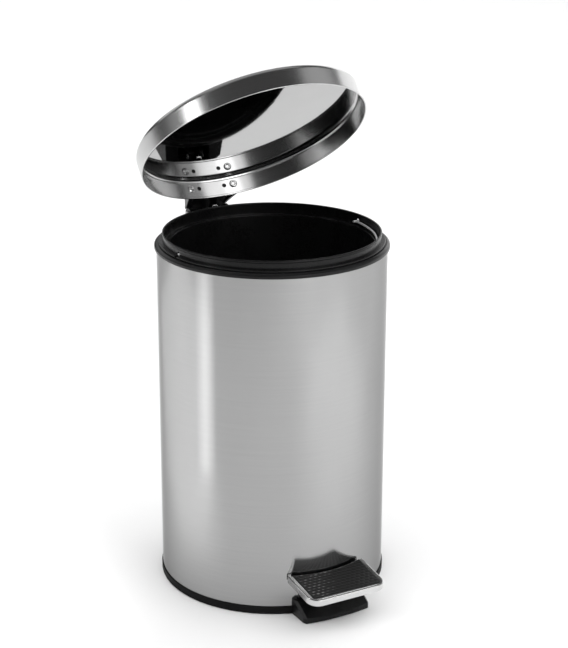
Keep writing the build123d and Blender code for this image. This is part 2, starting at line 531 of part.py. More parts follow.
pp = cyl_x(Y_PIVOT, Z_PIVOT, D_PIVOT / 2, -21.5, 21.5)
pp = chamfer(pp.edges().filter_by(GeomType.CIRCLE), 0.5)
nodes["pivot_pin"] = pp
bushes = None
for sx in (-1, 1):
    a, b = (11.2, 17.5) if sx > 0 else (-17.5, -11.2)
    fa, fb = (11.2, 12.45) if sx > 0 else (-12.45, -11.2)
    s = cyl_x(Y_PIVOT, Z_PIVOT, 4.0, a, b) + cyl_x(Y_PIVOT, Z_PIVOT, 6.0, fa, fb)
    s -= cyl_x(Y_PIVOT, Z_PIVOT, D_PIVOT / 2 + 0.06, a - 1, b + 1)
    bushes = s if bushes is None else bushes + s
nodes["pivot_bushes"] = bushes
pc = None
for x0, x1 in ((-19.4, -18.2), (18.2, 19.4)):
    c = cyl_x(Y_PIVOT, Z_PIVOT, 5.4, x0, x1) - cyl_x(Y_PIVOT, Z_PIVOT, D_PIVOT / 2, x0 - 1, x1 + 1)
    pc = c if pc is None else pc + c
nodes["pivot_clips"] = pc

# ------------------------------------------------------------------- writing
os.makedirs("parts", exist_ok=True)
for name, shape in nodes.items():
    solids = shape.solids()
    out = solids[0] if len(solids) == 1 else Compound(solids)
    out.label = name
    export_step(out, "parts/" + name + ".step")
    b = shape.bounding_box()
    print("%-16s %d solids  %9.1f mm3  x %.1f %.1f  y %.1f %.1f  z %.1f %.1f" % (
        name, len(solids), sum(s.volume for s in solids), b.min.X, b.max.X, b.min.Y, b.max.Y, b.min.Z, b.max.Z))
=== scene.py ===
import math
import bpy
import bmesh
from mathutils import Matrix, Vector


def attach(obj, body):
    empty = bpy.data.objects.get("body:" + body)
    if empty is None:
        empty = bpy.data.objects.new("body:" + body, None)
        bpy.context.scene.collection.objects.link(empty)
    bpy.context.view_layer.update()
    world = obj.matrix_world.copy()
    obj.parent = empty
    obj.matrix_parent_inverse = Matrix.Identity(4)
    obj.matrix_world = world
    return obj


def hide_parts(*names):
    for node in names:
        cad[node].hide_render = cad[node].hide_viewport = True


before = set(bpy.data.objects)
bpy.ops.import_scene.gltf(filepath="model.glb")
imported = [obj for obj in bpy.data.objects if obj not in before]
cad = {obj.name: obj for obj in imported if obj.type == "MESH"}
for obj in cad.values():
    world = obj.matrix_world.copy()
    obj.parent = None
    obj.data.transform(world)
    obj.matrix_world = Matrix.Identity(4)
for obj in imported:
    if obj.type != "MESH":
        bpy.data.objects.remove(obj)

MM = 0.001
scene = bpy.context.scene
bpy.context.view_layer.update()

# ------------------------------------------------------------------- camera
PHI = math.radians(28.7)
D_CAM, H_CAM, PITCH = 1.7938, 0.8947, math.radians(18.66)
cam_data = bpy.data.cameras.new("camera")
cam = bpy.data.objects.new("camera", cam_data)
scene.collection.objects.link(cam)
cam.location = (-D_CAM * math.sin(PHI), -D_CAM * math.cos(PHI), H_CAM)
cam.rotation_euler = (math.pi / 2 - PITCH, 0, -PHI)
cam_data.lens = 95.85
cam_data.sensor_width = 36
cam_data.sensor_fit = "AUTO"
cam_data.shift_x = 0.0184
cam_data.clip_start = 0.05
cam_data.clip_end = 60
scene.camera = cam

# --------------------------------------------------------------- dimensions
R_BODY, T_BODY = 125.0, 0.8
RI = R_BODY - T_BODY
Z_BODY0, Z_BODY1 = 9.0, 381.0
R_FLANGE, Z_FLANGE0, Z_FLANGE1, R_MOUTH = 127.2, 379.0, 384.5, 120.4
R_NECK, T_BUCKET, Z_NECK, Z_LEDGE = 117.9, 1.8, 396.0, 383.0
R_BUCKET1, R_BUCKET0, Z_BUCKET0, TURN = 112.5, 106.0, 58.0, math.radians(6.0)
D_BAIL, R_BAIL, Z_BAIL, D_BAIL_HOLE = 2.6, 113.2, 388.0, 5.6
R_LID, Z_LID0, H_LID, R_LID_EDGE = 127.5, 384.2, 24.8, 6.0
LID_OPEN = math.radians(39.7)
X_RIVET, X_HOLE, Z_RIVET, D_HOLE = 27.0, 16.0, 397.0, 5.0
Y_HINGE, Z_HINGE = 155.0, 379.5
R_PEDAL, Y_PEDAL, Z_PEDAL, W_PEDAL = 127.9, -174.0, 45.3, 46.5
PEDAL_TILT = math.radians(7.2)

LID_PLACE = (Matrix.Translation((0, Y_HINGE * MM, Z_HINGE * MM)) @ Matrix.Rotation(-LID_OPEN, 4, "X")
             @ Matrix.Translation((0, -Y_HINGE * MM, (Z_LID0 - Z_HINGE) * MM)))
PEDAL_PLACE = (Matrix.Translation((0, -R_PEDAL * MM, Z_PEDAL * MM)) @ Matrix.Rotation(PEDAL_TILT, 4, "X")
               @ Matrix.Translation((0, R_PEDAL * MM, 0)))


# ---------------------------------------------------------------- materials
class Mat:
    """A node material with a few short cuts."""

    def __init__(self, name):
        self.m = bpy.data.materials.new(name)
        self.m.use_nodes = True
        self.nt = self.m.node_tree
        self.p = self.nt.nodes["Principled BSDF"]

    def node(self, kind, **values):
        n = self.nt.nodes.new(kind)
        for k, v in values.items():
            if k.startswith("in_"):
                key = k[3:]
                n.inputs[int(key) if key.isdigit() else key].default_value = v
            else:
                setattr(n, k, v)
        return n

    def link(self, a, b):
        self.nt.links.new(a, b)

    def math(self, op, a, b=None, clamp=False):
        n = self.nt.nodes.new("ShaderNodeMath")
        n.operation = op
        n.use_clamp = clamp
        for i, v in enumerate((a, b)):
            if v is None:
                continue
            if isinstance(v, (int, float)):
                n.inputs[i].default_value = v
            else:
                self.link(v, n.inputs[i])
        return n.outputs[0]

    def coords(self):
        return self.nt.nodes.new("ShaderNodeTexCoord").outputs["Object"]

    def placed(self, place):
        """Coordinates in the own frame of a tilted piece."""
        n = self.node("ShaderNodeMapping", vector_type="TEXTURE")
        loc, rot, _ = place.decompose()
        n.inputs["Location"].default_value = loc
        n.inputs["Rotation"].default_value = rot.to_euler()
        self.link(self.coords(), n.inputs["Vector"])
        return n.outputs[0]

    def xyz(self, v):
        n = self.nt.nodes.new("ShaderNodeSeparateXYZ")
        self.link(v, n.inputs[0])
        return n.outputs

    def vec(self, x, y, z=0.0):
        n = self.nt.nodes.new("ShaderNodeCombineXYZ")
        for i, v in enumerate((x, y, z)):
            if isinstance(v, (int, float)):
                n.inputs[i].default_value = v
            else:
                self.link(v, n.inputs[i])
        return n.outputs[0]

    def noise(self, v, scale, detail=3.0, rough=0.55):
        n = self.node("ShaderNodeTexNoise", in_Scale=scale, in_Detail=detail, in_Roughness=rough)
        self.link(v, n.inputs["Vector"])
        return n.outputs["Fac"]

    def range(self, v, lo, hi, frm=(0.3, 0.7)):
        n = self.node("ShaderNodeMapRange")
        n.inputs["From Min"].default_value, n.inputs["From Max"].default_value = frm
        n.inputs["To Min"].default_value, n.inputs["To Max"].default_value = lo, hi
        self.link(v, n.inputs["Value"])
        return n.outputs[0]

    def ramp(self, v, a, b, frm=(0.3, 0.7)):
        n = self.node("ShaderNodeValToRGB")
        n.color_ramp.elements[0].position, n.color_ramp.elements[1].position = frm
        n.color_ramp.elements[0].color = (*a, 1)
        n.color_ramp.elements[1].color = (*b, 1)
        self.link(v, n.inputs[0])
        return n.outputs[0]

    def bump(self, v, strength, distance):
        n = self.node("ShaderNodeBump", in_Strength=strength, in_Distance=distance)
        self.link(v, n.inputs["Height"])
        self.link(n.outputs[0], self.p.inputs["Normal"])
        return n

    def set(self, **values):
        for k, v in values.items():
            self.p.inputs[k.replace("_", " ")].default_value = v


def grey(v, tint=0.0):
    return (v, v, v * (1 + tint))


def brushed(name, lo, hi, r_lo, r_hi, aniso=0.0, radial=False, hair=1.0, bump=0.06, tilted=False, edge=1.0):
    """Brushed sheet steel: hairlines round the axis of the tube, or of the tilted lid."""
    t = Mat(name)
    x, y, z = t.xyz(t.placed(LID_PLACE) if tilted else t.coords())
    if radial:
        rad = t.math("POWER", t.math("ADD", t.math("MULTIPLY", x, x), t.math("MULTIPLY", y, y)), 0.5)
        ang = t.math("ARCTAN2", x, t.math("MULTIPLY", y, -1.0))
        around, across = t.math("MULTIPLY", ang, 0.12), t.math("ADD", rad, z)
    else:
        ang = t.math("ARCTAN2", x, t.math("MULTIPLY", y, -1.0))
        around, across = t.math("MULTIPLY", ang, 0.125), z
    fine = t.noise(t.vec(t.math("MULTIPLY", around, 14.0), t.math("MULTIPLY", across, 2600.0 * hair)), 1.0, 2.0)
    mid = t.noise(t.vec(t.math("MULTIPLY", around, 5.0), t.math("MULTIPLY", across, 420.0 * hair)), 1.0, 3.0)
    cloud = t.noise(t.vec(t.math("MULTIPLY", around, 9.0), t.math("MULTIPLY", across, 6.0)), 1.0, 3.0)
    streak = t.math("ADD", t.math("MULTIPLY", fine, 0.6), t.math("MULTIPLY", mid, 0.4))
    t.link(t.ramp(t.math("ADD", t.math("MULTIPLY", streak, 0.7), t.math("MULTIPLY", cloud, 0.3)), grey(lo), grey(hi)), t.p.inputs["Base Color"])
    t.link(t.range(t.math("ADD", t.math("MULTIPLY", streak, 0.55), t.math("MULTIPLY", cloud, 0.45)), r_lo, r_hi), t.p.inputs["Roughness"])
    t.set(Metallic=1.0, Specular_Tint=(edge, edge, edge, 1))
    if aniso:
        t.set(Anisotropic=aniso, Anisotropic_Rotation=0.25)
        tan = t.node("ShaderNodeTangent", direction_type="RADIAL", axis="Z")
        t.link(tan.outputs[0], t.p.inputs["Tangent"])
    if bump:
        t.bump(streak, bump, 0.00004)
    return t.m


def polished(name, lo, hi, r_lo, r_hi, scale=40.0, bump=0.0, metal=1.0):
    """Bright metal with faint polishing clouds and wipe marks."""
    t = Mat(name)
    v = t.coords()
    cloud = t.noise(v, scale, 3.0)
    x, y, z = t.xyz(v)
    wipe = t.noise(t.vec(t.math("MULTIPLY", x, 60.0), t.math("MULTIPLY", y, 900.0), t.math("MULTIPLY", z, 900.0)), 1.0, 2.0)
    both = t.math("ADD", t.math("MULTIPLY", cloud, 0.6), t.math("MULTIPLY", wipe, 0.4))
    t.link(t.ramp(both, grey(lo), grey(hi)), t.p.inputs["Base Color"])
    t.link(t.range(both, r_lo, r_hi), t.p.inputs["Roughness"])
    t.set(Metallic=metal)
    if bump:
        t.bump(wipe, bump, 0.00003)
    return t.m


def moulded(name, lo, hi, r_lo, r_hi, grain=2600.0, bump=0.12, spec=0.5):
    """Black moulded plastic with a fine spark-eroded grain."""
    t = Mat(name)
    v = t.coords()
    g = t.noise(v, grain, 2.0, 0.5)
    c = t.noise(v, 34.0, 4.0)
    t.link(t.ramp(c, grey(lo, 0.03), grey(hi, 0.03)), t.p.inputs["Base Color"])
    t.link(t.range(t.math("ADD", t.math("MULTIPLY", g, 0.5), t.math("MULTIPLY", c, 0.5)), r_lo, r_hi), t.p.inputs["Roughness"])
    t.set(Specular_IOR_Level=spec)
    t.bump(g, bump, 0.00008)
    return t.m


def rubber_with_painted_glints(name):
    """Black rubber whose raised scale tops are painted paler than the grooves between them, a painted highlight for
    glints on the scales, and made smoother.
    """
    t = Mat(name)
    v = t.placed(PEDAL_PLACE)
    x, y, z = t.xyz(v)
    g = t.noise(v, 1500.0, 2.0, 0.5)
    patch = t.noise(v, 90.0, 3.0)
    top = t.range(z, 0.0, 1.0, (0.00018, 0.00080))
    # painted highlight: the highest scale tops, in random patches, are painted pale
    glint_mask = t.math("MULTIPLY", top, t.range(patch, 0.55, 1.0))
    t.link(t.ramp(glint_mask, grey(0.0065), grey(0.38), (0.42, 1.0)), t.p.inputs["Base Color"])
    t.link(t.range(t.math("ADD", t.math("MULTIPLY", glint_mask, -0.5), g), 0.30, 0.55, (0.0, 0.8)), t.p.inputs["Roughness"])
    t.set(Specular_IOR_Level=0.5)
    t.bump(g, 0.2, 0.00006)
    return t.m


M_BODY = brushed("satin_steel_body", 0.345, 0.385, 0.085, 0.125, aniso=0.6, edge=0.6)
M_LID_OUT = brushed("satin_steel_lid", 0.52, 0.58, 0.21, 0.27, radial=True, tilted=True)
M_LID_SKIRT = brushed("lid_skirt_inside", 0.58, 0.64, 0.15, 0.19, bump=0.0, tilted=True)
M_MIRROR = polished("lid_mirror", 0.42, 0.44, 0.030, 0.050, 30.0)
M_PEDAL = polished("pedal_steel", 0.62, 0.70, 0.16, 0.24, 90.0, 0.05)
M_BRIGHT = polished("bright_steel", 0.60, 0.70, 0.08, 0.14, 160.0, 0.04)
M_WIRE = polished("drawn_wire", 0.66, 0.76, 0.26, 0.36, 200.0, 0.05, metal=0.5)
M_ZINC = polished("zinc_steel", 0.42, 0.52, 0.28, 0.42, 120.0, 0.08)
M_BLACK = moulded("black_plastic", 0.0055, 0.0080, 0.26, 0.35, spec=0.24)
M_RING = moulded("black_base", 0.0090, 0.0125, 0.42, 0.52, spec=0.03)
M_BUCKET = moulded("bucket_plastic", 0.0045, 0.0065, 0.24, 0.32, 1800.0, 0.08, spec=0.26)
M_RUBBER = rubber_with_painted_glints("pad_rubber")
M_NYLON = moulded("natural_nylon", 0.52, 0.58, 0.40, 0.50, 1500.0, 0.08)


# ----------------------------------------------------------- mesh utilities
def rounded(pts, radii, n=6):
    """Closed 2-D outline with rounded corners; returns the points."""
    out = []
    k = len(pts)
    for i in range(k):
        p0, p1, p2 = Vector(pts[i - 1]), Vector(pts[i]), Vector(pts[(i + 1) % k])
        r = radii.get(i, 0.0)
        if r <= 0:
            out.append((p1.x, p1.y))
            continue
        u, v = (p0 - p1).normalized(), (p2 - p1).normalized()
        half = math.acos(max(-1.0, min(1.0, u.dot(v)))) / 2
        t = r / math.tan(half)
        c = p1 + (u + v).normalized() * (r / math.sin(half))
        a, b = p1 + u * t - c, p1 + v * t - c
        a0 = math.atan2(a.y, a.x)
        d = math.atan2(b.y, b.x) - a0
        d = (d + math.pi) % (2 * math.pi) - math.pi
        for j in range(n + 1):
            q = a0 + d * j / n
            out.append((c.x + r * math.cos(q), c.y + r * math.sin(q)))
    return out


def held(prof, gap=0.35, long=2.0):
    """Adds points close to the ends of long straight runs, so that shading stays flat between them."""
    out = []
    k = len(prof)
    for i in range(k):
        a, b = Vector(prof[i]), Vector(prof[(i + 1) % k])
        out.append((a.x, a.y))
        ln = (b - a).length
        if ln > long:
            for f in (gap / ln, 1 - gap / ln):
                q = a.lerp(b, f)
                out.append((q.x, q.y))
    return out


def new_object(name, bm, mats):
    me = bpy.data.meshes.new(name)
    bm.to_mesh(me)
    bm.free()
    for m in mats:
        me.materials.append(m)
    ob = bpy.data.objects.new(name, me)
    scene.collection.objects.link(ob)
    return ob


def lathe(name, prof, seg=256, mats=(), pick=None, z_cuts=()):
    """Solid of revolution about Z from a closed (radius, height) outline in mm."""
    bm = bmesh.new()
    pts = []
    for i, (r, z) in enumerate(prof):
        pts.append((r, z))
        r2, z2 = prof[(i + 1) % len(prof)]
        if abs(r - r2) < 1e-6 and z_cuts:
            inside = [c for c in z_cuts if min(z, z2) + 0.2 < c < max(z, z2) - 0.2]
            pts += [(r, c) for c in sorted(inside, reverse=z2 < z)]
    rings = []
    for r, z in pts:
        if r < 1e-6:
            rings.append([bm.verts.new((0, 0, z * MM))])
        else:
            rings.append([bm.verts.new((r * MM * math.sin(2 * math.pi * j / seg), -r * MM * math.cos(2 * math.pi * j / seg), z * MM)) for j in range(seg)])
    for i in range(len(pts)):
        a, b = rings[i], rings[(i + 1) % len(pts)]
        if len(a) == 1 and len(b) == 1:
            continue
        for j in range(seg):
            k = (j + 1) % seg
            if len(a) == 1:
                f = bm.faces.new((a[0], b[k], b[j]))
            elif len(b) == 1:
                f = bm.faces.new((a[j], a[k], b[0]))
            else:
                f = bm.faces.new((a[j], a[k], b[k], b[j]))
            if pick:
                f.material_index = pick(pts[i], pts[(i + 1) % len(pts)])
    bmesh.ops.recalc_face_normals(bm, faces=bm.faces)
    return new_object(name, bm, mats)


def prism(pts, p0, p1, to3d):
    """Closed prism between two levels of an outline; to3d(u, v, level) gives a point in mm."""
    bm = bmesh.new()
    a = [bm.verts.new(Vector(to3d(u, v, p0)) * MM) for u, v in pts]
    b = [bm.verts.new(Vector(to3d(u, v, p1)) * MM) for u, v in pts]
    n = len(pts)
    bm.faces.new(a)
    bm.faces.new(b)
    for i in range(n):
        bm.faces.new((a[i], a[(i + 1) % n], b[(i + 1) % n], b[i]))
    bmesh.ops.recalc_face_normals(bm, faces=bm.faces)
    return new_object("cutter", bm, ())


def circle(cx, cy, r, n=40):
    return [(cx + r * math.cos(2 * math.pi * i / n), cy + r * math.sin(2 * math.pi * i / n)) for i in range(n)]


def along_y(u, v, level):
    return (u, level, v)


def cut(ob, cutters):
    """Takes the cutters out of ob's mesh."""
    for c in cutters:
        m = ob.modifiers.new("cut", "BOOLEAN")
        m.operation = "DIFFERENCE"
        m.solver = "EXACT"
        m.object = c
    bake(ob)
    for c in cutters:
        me = c.data
        bpy.data.objects.remove(c)
        bpy.data.meshes.remove(me)


def bake(ob):
    """Applies ob's modifiers to its mesh."""
    dg = bpy.context.evaluated_depsgraph_get()
    dg.update()
    me = bpy.data.meshes.new_from_object(ob.evaluated_get(dg))
    old = ob.data
    ob.modifiers.clear()
    ob.data = me
    bpy.data.meshes.remove(old)
    me.name = ob.name


def shade(ob, angle=32.0, weld=None):
    """Smooth faces with sharp edges where the surface turns by more than angle."""
    bm = bmesh.new()
    bm.from_mesh(ob.data)
    if weld:
        bmesh.ops.remove_doubles(bm, verts=bm.verts, dist=weld)
    for f in bm.faces:
        f.smooth = True
    lim = math.radians(angle)
    for e in bm.edges:
        e.smooth = not (len(e.link_faces) == 2 and e.calc_face_angle(0.0) > lim)
    bm.to_mesh(ob.data)
    bm.free()
    ob.data.update()


def place(ob, body, *replaced, slot=None):
    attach(ob, body)
    if replaced:
        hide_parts(*replaced)
    return ob


def softened(node, name, mat, width, body, slot, segments=2, angle=38.0, flat=0.6):
    """Mesh of a moulded or pressed piece with its edges rounded off."""
    src = cad[node].data
    bm = bmesh.new()
    bm.from_mesh(src)
    bmesh.ops.remove_doubles(bm, verts=bm.verts, dist=2e-6)
    bmesh.ops.dissolve_limit(bm, angle_limit=math.radians(flat), verts=bm.verts, edges=bm.edges, delimit=set())
    bmesh.ops.recalc_face_normals(bm, faces=bm.faces)
    for f in bm.faces:
        f.material_index = 0
    ob = new_object(name, bm, (mat,))
    for layer in list(ob.data.uv_layers):
        ob.data.uv_layers.remove(layer)
    m = ob.modifiers.new("edges", "BEVEL")
    m.limit_method = "ANGLE"
    m.angle_limit = math.radians(angle)
    m.width = width * MM
    m.segments = segments
    m.profile = 0.6
    m.use_clamp_overlap = True
    m.miter_outer = "MITER_ARC"
    bake(ob)
    shade(ob, 40.0)
    w = ob.modifiers.new("normals", "WEIGHTED_NORMAL")
    w.keep_sharp = True
    w.weight = 60
    bake(ob)
    return place(ob, body, node, slot=slot)


# --------------------------------------------------------------- outer tube
tube = lathe("body_tube", rounded([(RI, Z_BODY0), (R_BODY, Z_BODY0), (R_BODY, Z_BODY1), (RI, Z_BODY1)], {0: 0.3, 1: 0.3, 2: 0.3, 3: 0.3}, 3),
             288, (M_BODY,), z_cuts=(10.4, 12, 16, 22, 30, 38, 44, 50, 90, 160, 230, 290, 300, 306, 316, 330, 345, 351, 361, 379.6))
cuts = [prism(rounded([(-12.5, 16.5), (12.5, 16.5), (12.5, 42.0), (-12.5, 42.0)], {0: 3, 1: 3, 2: 3, 3: 3}, 8), -132, -100, along_y),
        prism(rounded([(-3.8, 303.0), (3.8, 303.0), (3.8, 347.0), (-3.8, 347.0)], {0: 3.6, 1: 3.6, 2: 3.6, 3: 3.6}, 10), 100, 132, along_y)]
for sx in (-1, 1):
    for z in (311.0, 356.0):
        cuts.append(prism(circle(sx * 31.0, z, 2.0, 24), 100, 140, along_y))
    cuts.append(prism(circle(sx * 25.0, 13.6, 1.85, 24), -140, -100, along_y))
cut(tube, cuts)
shade(tube, 35)
place(tube, "root", "body_shell", slot="satin_steel")

# --------------------------------------------------------------- top collar
collar = lathe("collar_ring", held(rounded(
    [(R_MOUTH, 379.0), (121.8, 377.0), (121.8, 366.0), (124.0, 366.0), (124.0, Z_BODY1 + 0.05), (125.2, Z_BODY1 + 0.05),
     (125.2, Z_FLANGE0), (R_FLANGE, Z_FLANGE0), (R_FLANGE, 382.6), (124.6, Z_FLANGE1), (R_MOUTH, Z_FLANGE1)],
    {2: 0.3, 3: 0.3, 7: 0.8, 8: 1.6, 9: 4.0, 10: 0.6}, 6), 0.15, 1.0), 256, (M_BLACK,))
shade(collar, 38)
place(collar, "root", "top_collar", slot="black_plastic")

# ------------------------------------------------------------------- bucket
rn = R_NECK - T_BUCKET
bucket = lathe("lift_out_bucket", held(rounded(
    [(0, Z_BUCKET0), (R_BUCKET0, Z_BUCKET0), (R_BUCKET1, 380.6), (R_NECK, 380.6), (R_NECK, Z_FLANGE1 + 0.3), (122.4, Z_FLANGE1 + 0.3),
     (122.4, Z_FLANGE1 + 2.2), (R_NECK, Z_FLANGE1 + 2.6), (R_NECK, 393.0), (R_NECK + 0.7, 394.0), (R_NECK + 0.7, Z_NECK),
     (rn - 0.1, Z_NECK), (rn - 0.1, 394.0), (rn, 393.2), (rn, Z_LEDGE), (R_BUCKET1 - T_BUCKET, Z_LEDGE),
     (R_BUCKET0 - T_BUCKET, Z_BUCKET0 + 2.2), (0, Z_BUCKET0 + 2.2)],
    {1: 6.0, 5: 0.5, 6: 0.8, 8: 0.3, 9: 0.3, 10: 1.1, 11: 1.1, 12: 0.2, 14: 0.5, 15: 0.8, 16: 4.0}, 6), 0.2, 1.2), 256, (M_BUCKET,),
    z_cuts=(384.4, 385.0, 391.0, 391.6))
turn = Matrix.Rotation(TURN, 3, "Z")
cuts = []
for a, b in ((110, 130), (-130, -110)):
    cuts.append(prism(circle(0, Z_BAIL, D_BAIL_HOLE / 2, 32), a, b, lambda u, v, s: tuple(turn @ Vector((s, u, v)))))
cut(bucket, cuts)
shade(bucket, 38)
place(bucket, "bucket", "inner_bucket", slot="bucket_plastic")


# --------------------------------------------------------------------- bail
def tube_along(name, path, radius, sides, mat, round_ends=0.3):
    """Round wire along a list of points in mm, with slightly broken end edges."""
    bm = bmesh.new()
    pts = [Vector(p) for p in path]
    n = len(pts)
    tang = [(pts[min(i + 1, n - 1)] - pts[max(i - 1, 0)]).normalized() for i in range(n)]
    up = Vector((0, 0, 1))
    if abs(tang[0].dot(up)) > 0.9:
        up = Vector((1, 0, 0))
    u = (up - tang[0] * up.dot(tang[0])).normalized()
    rings = []

    def ring(c, t, u, r):
        w = t.cross(u)
        return [bm.verts.new((c + (u * math.cos(2 * math.pi * k / sides) + w * math.sin(2 * math.pi * k / sides)) * r) * MM) for k in range(sides)]
    for i in range(n):
        u = (u - tang[i] * u.dot(tang[i])).normalized()
        if i == 0:
            rings.append(ring(pts[0] - tang[0] * 0.0, tang[0], u, radius - round_ends))
            rings.append(ring(pts[0] + tang[0] * round_ends, tang[0], u, radius))
        elif i == n - 1:
            rings.append(ring(pts[i] - tang[i] * round_ends, tang[i], u, radius))
            rings.append(ring(pts[i], tang[i], u, radius - round_ends))
        else:
            rings.append(ring(pts[i], tang[i], u, radius))
    for a, b in zip(rings, rings[1:]):
        for k in range(sides):
            bm.faces.new((a[k], a[(k + 1) % sides], b[(k + 1) % sides], b[k]))
    bm.faces.new(rings[0])
    bm.faces.new(rings[-1])
    bmesh.ops.recalc_face_normals(bm, faces=bm.faces)
    return new_object(name, bm, (mat,))


rb = 3.2
a0 = math.asin(rb / (R_BAIL - rb))
cxb = (R_BAIL - rb) * math.cos(a0)
end_x = R_NECK + 0.9
half = [(end_x, 0.0), (end_x - 1.2, 0.0)]
for i in range(11):
    q = math.pi / 2 - (math.pi / 2 + a0) * i / 10
    half.append((cxb + rb * math.cos(q), -rb + rb * math.sin(q)))
N_ARC = 96
arc = [(R_BAIL * math.cos(-a0 - (math.pi - 2 * a0) * i / N_ARC), R_BAIL * math.sin(-a0 - (math.pi - 2 * a0) * i / N_ARC)) for i in range(1, N_ARC)]
flat_path = half + arc + [(-x, y) for x, y in reversed(half)]
drop = math.asin((Z_BAIL - (Z_LEDGE + 0.4 + D_BAIL / 2)) / R_BAIL)
put = Matrix.Rotation(TURN, 4, "Z") @ Matrix.Translation((0, 0, Z_BAIL)) @ Matrix.Rotation(drop, 4, "X")
bail = tube_along("bail_wire", [tuple(put @ Vector((x, y, 0))) for x, y in flat_path], D_BAIL / 2, 20, M_WIRE)
shade(bail, 40)
place(bail, "bail", "bucket_bail", slot="bright_wire")

# ---------------------------------------------------------------------- lid
rl = R_LID - T_BODY
lid_prof = held(rounded(
    [(0, H_LID), (R_LID, H_LID), (R_LID, 0), (R_LID - 1.7, 0), (R_LID - 1.7, 2.0), (rl, 2.3), (rl, H_LID - T_BODY), (0, H_LID - T_BODY)],
    {1: R_LID_EDGE, 2: 0.7, 3: 0.7, 4: 0.3, 5: 0.3, 6: R_LID_EDGE - T_BODY}, 10), 0.3, 1.5)


def lid_face(a, b):
    if min(a[0], b[0]) < R_LID - R_LID_EDGE - 0.2 and max(a[1], b[1]) < H_LID - T_BODY / 2:
        return 2                      # underside of the disc
    if max(a[0], b[0]) < R_LID - 0.1 and max(a[1], b[1]) < H_LID - T_BODY + 0.01:
        return 1                      # inside of the skirt
    return 0


lid = lathe("lid_pan", lid_prof, 288, (M_LID_OUT, M_LID_SKIRT, M_MIRROR), lid_face)
cuts = []
zl = Z_RIVET - Z_LID0
for sx in (-1, 1):
    for x, r in ((X_RIVET, 2.0), (X_HOLE, D_HOLE / 2)):
        rot = Matrix.Rotation(-sx * math.asin(x / R_LID), 3, "Z")
        cuts.append(prism(circle(0, zl, r, 32), 115, 135, lambda u, v, s, rot=rot: tuple(rot @ Vector((u, s, v)))))
cut(lid, cuts)
shade(lid, 40)
lid.data.transform(LID_PLACE)
place(lid, "lid", "lid_shell", slot="lid_steel")

# hollow rivets on the inside of the skirt
bm_prof = rounded([(0, 0.2), (1.7, 0.2), (2.2, 1.4), (3.2, 1.5), (4.5, 0.6), (4.5, 0.0), (1.95, 0.0), (1.95, -3.9), (0, -3.9)],
                  {1: 0.25, 2: 0.4, 3: 0.7, 4: 0.35}, 4)
rivet_list = []
for sx in (-1, 1):
    rv = lathe("rivet_part", bm_prof, 40, (M_BRIGHT,))
    rot = Matrix.Rotation(-sx * math.asin(X_RIVET / R_LID), 4, "Z")
    rv.data.transform(rot @ Matrix.Translation((0, (rl - 0.10) * MM, zl * MM)) @ Matrix.Rotation(math.pi / 2, 4, "X"))
    rivet_list.append(rv)
bm = bmesh.new()
for rv in rivet_list:
    bm.from_mesh(rv.data)
rivets = new_object("skirt_rivets", bm, (M_BRIGHT,))
for rv in rivet_list:
    me = rv.data
    bpy.data.objects.remove(rv)
    bpy.data.meshes.remove(me)
shade(rivets, 45)
rivets.data.transform(LID_PLACE)
place(rivets, "lid", "lid_rivets", slot="bright_steel")

# -------------------------------------------- moulded and pressed pieces
softened("lid_bracket", "hinge_arm", M_BLACK, 0.45, "lid", "black_plastic")
softened("hinge_base", "hinge_bracket", M_BLACK, 0.5, "root", "black_plastic")
softened("front_foot", "wedge_foot", M_BLACK, 0.6, "root", "black_plastic", segments=3)
softened("base_dish", "base_ring", M_RING, 0.35, "root", "black_plastic")
softened("pedal_plate", "pedal_tray", M_PEDAL, 0.22, "pedal", "pedal_steel")
softened("pedal_lever", "lever_channel", M_ZINC, 0.3, "pedal", "zinc_steel")
softened("lift_rod_end", "rod_end_block", M_BRIGHT, 0.2, "rod", "bright_steel")

# ---------------------------------------------------------------- pedal pad
wq, yq, rq = 41.9, Y_PEDAL + 4.7, 4.0
r_rear, r_lip = R_PEDAL, R_PEDAL + 1.05
NX, NY = 210, 120
PX, PY = 6.0, 4.6                  # pitch of the tread


def front_edge(x):
    a = abs(x) - (wq - rq)
    return yq if a <= 0 else yq + rq - math.sqrt(max(0.0, rq * rq - a * a))


def tread(x, y, edge):
    """Height of the tread over the pad's base: rows of small overlapping scales inside a plain border."""
    row = math.floor(y / PY)
    fy = y / PY - row
    fx = x / PX + 0.5 * (row % 2)
    fx = fx - math.floor(fx)
    dx = abs(fx - 0.5) * 2
    scale_h = max(0.0, 1 - dx ** 2.6) * (fy ** 0.75) * max(0.0, min(1.0, (1 - fy) * 7.0))
    inner = max(0.0, min(1.0, (edge - 1.2) / 0.8))
    # scales stand taller towards the left; the rubber colour paints the tallest tops pale, so this height carries a
    # painted highlight there
    relief_for_painted_glint = 0.64 + 0.36 / (1 + math.exp((x + 6.0 - 0.55 * (y + 146.0)) / 5.0))
    return 0.30 + 0.80 * scale_h * inner * relief_for_painted_glint + 0.18 * (1 - inner) * max(0.0, min(1.0, edge / 0.5))


